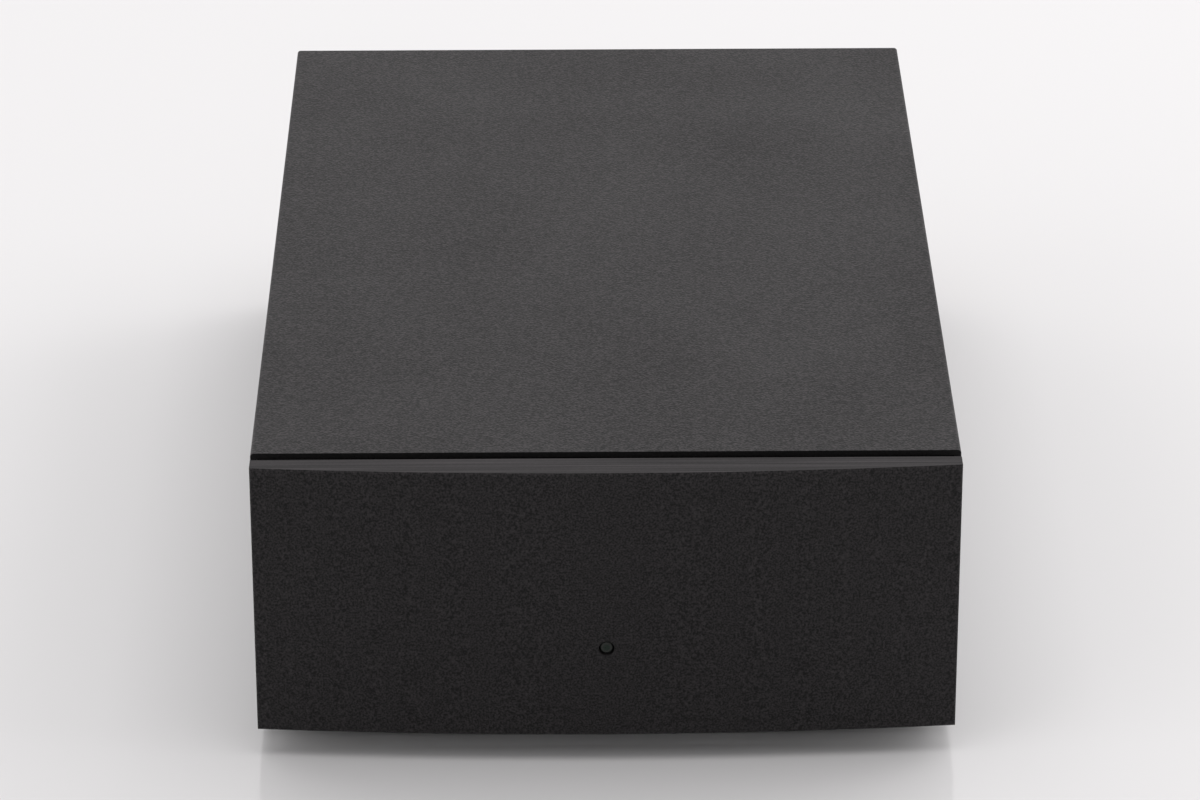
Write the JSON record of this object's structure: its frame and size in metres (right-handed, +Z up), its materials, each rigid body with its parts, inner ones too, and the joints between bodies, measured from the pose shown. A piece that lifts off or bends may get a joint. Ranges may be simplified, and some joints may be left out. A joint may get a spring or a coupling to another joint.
{
  "type": "phono preamp",
  "caption": "Shoebox-size phono preamp: folded steel case behind a bowed front panel with one power light, phono sockets, ground terminal, selector and power inlet at the rear.",
  "frame": {"origin": "under the middle of the whole object, on the plane its feet stand on", "axes": "+X right seen from the front, +Y from the front panel to the rear sockets, +Z up"},
  "size_m": [0.1096, 0.18, 0.0491],
  "materials": {
    "panel_paint": "fine textured powder coat",
    "zinc_steel": "zinc plated",
    "light_pipe": "clear moulded acrylic, unlit",
    "lamp": "clear epoxy",
    "cover_paint": "fine textured powder coat",
    "black_steel": "black oxide",
    "foot_rubber": "matte",
    "board": "solder resist",
    "white_plastic": "moulded nylon",
    "red_plastic": "moulded nylon",
    "black_plastic": "moulded nylon",
    "tinned": "tinned",
    "gold_plate": "gold plated",
    "nickel": "nickel plated",
    "phenolic": "phenolic laminate",
    "chip_plastic": "moulded epoxy",
    "film_cap": "dipped",
    "can_sleeve": "printed sleeve, left plain",
    "resistor_paint": "lacquer",
    "black_anodised": "black anodised",
    "choke_wire": "enamelled copper on ferrite",
    "grey_plastic": "ribbon cable",
    "insulator": "fluoropolymer"
  },
  "bodies": {
    "chassis": {"front_panel": "panel_paint", "front_spacers": "zinc_steel", "front_screws": "zinc_steel", "light_pipe": "light_pipe", "power_led": "lamp", "top_cover": "cover_paint", "cover_screws": "black_steel", "clinch_nuts": "zinc_steel", "chassis_base": "cover_paint", "feet": "foot_rubber", "foot_screws": "zinc_steel", "foot_nuts": "zinc_steel", "board_standoffs": "zinc_steel", "main_board": "board", "board_screws": "zinc_steel", "input_socket_left": "gold_plate", "input_socket_right": "gold_plate", "output_socket_left": "gold_plate", "output_socket_right": "gold_plate", "input_insulator_left": "insulator", "input_insulator_right": "insulator", "output_insulator_left": "insulator", "output_insulator_right": "insulator", "input_contact_left": "gold_plate", "input_contact_right": "gold_plate", "output_contact_left": "gold_plate", "output_contact_right": "gold_plate", "left_socket_rings": "white_plastic", "right_socket_rings": "red_plastic", "socket_inner_washers": "black_plastic", "socket_solder_tags": "tinned", "socket_nuts": "gold_plate", "ground_post": "nickel", "ground_lug": "tinned", "ground_lock_nut": "nickel", "selector_frame": "zinc_steel", "selector_housing": "phenolic", "selector_screws": "black_steel", "selector_terminals": "tinned", "inlet_body": "black_plastic", "inlet_contacts": "nickel", "inlet_nut": "nickel", "op_amps": "chip_plastic", "film_capacitors": "film_cap", "signal_capacitors": "can_sleeve", "supply_capacitors": "can_sleeve", "resistors": "resistor_paint", "regulators": "chip_plastic", "heat_sinks": "black_anodised", "regulator_screws": "zinc_steel", "supply_choke": "choke_wire", "left_signal_wires": "white_plastic", "right_signal_wires": "red_plastic", "ground_wires": "black_plastic", "supply_wires": "red_plastic", "selector_wires": "grey_plastic"},
    "ground_washer": {"ground_washer": "nickel"},
    "ground_nut": {"ground_nut": "gold_plate"},
    "selector_slider": {"selector_slider": "black_plastic"}
  },
  "joints": [
    {"name": "ground_nut_travel", "type": "slide", "parent": "chassis", "child": "ground_washer", "axis": [0, 1, 0], "range_m": [0, 0.0021]},
    {"name": "ground_nut_turn", "type": "hinge", "parent": "ground_washer", "child": "ground_nut", "pos_m": [0.02, 0.08515, 0.027], "axis": [0, 1, 0], "range_deg": [0, 1081]},
    {"name": "selector_slide", "type": "slide", "parent": "chassis", "child": "selector_slider", "axis": [-1, 0, 0], "range_m": [0, 0.003]}
  ],
  "couplings": [
    {"joint": "ground_nut_turn", "follows": "ground_nut_travel", "rad_per_m": 8976}
  ]
}
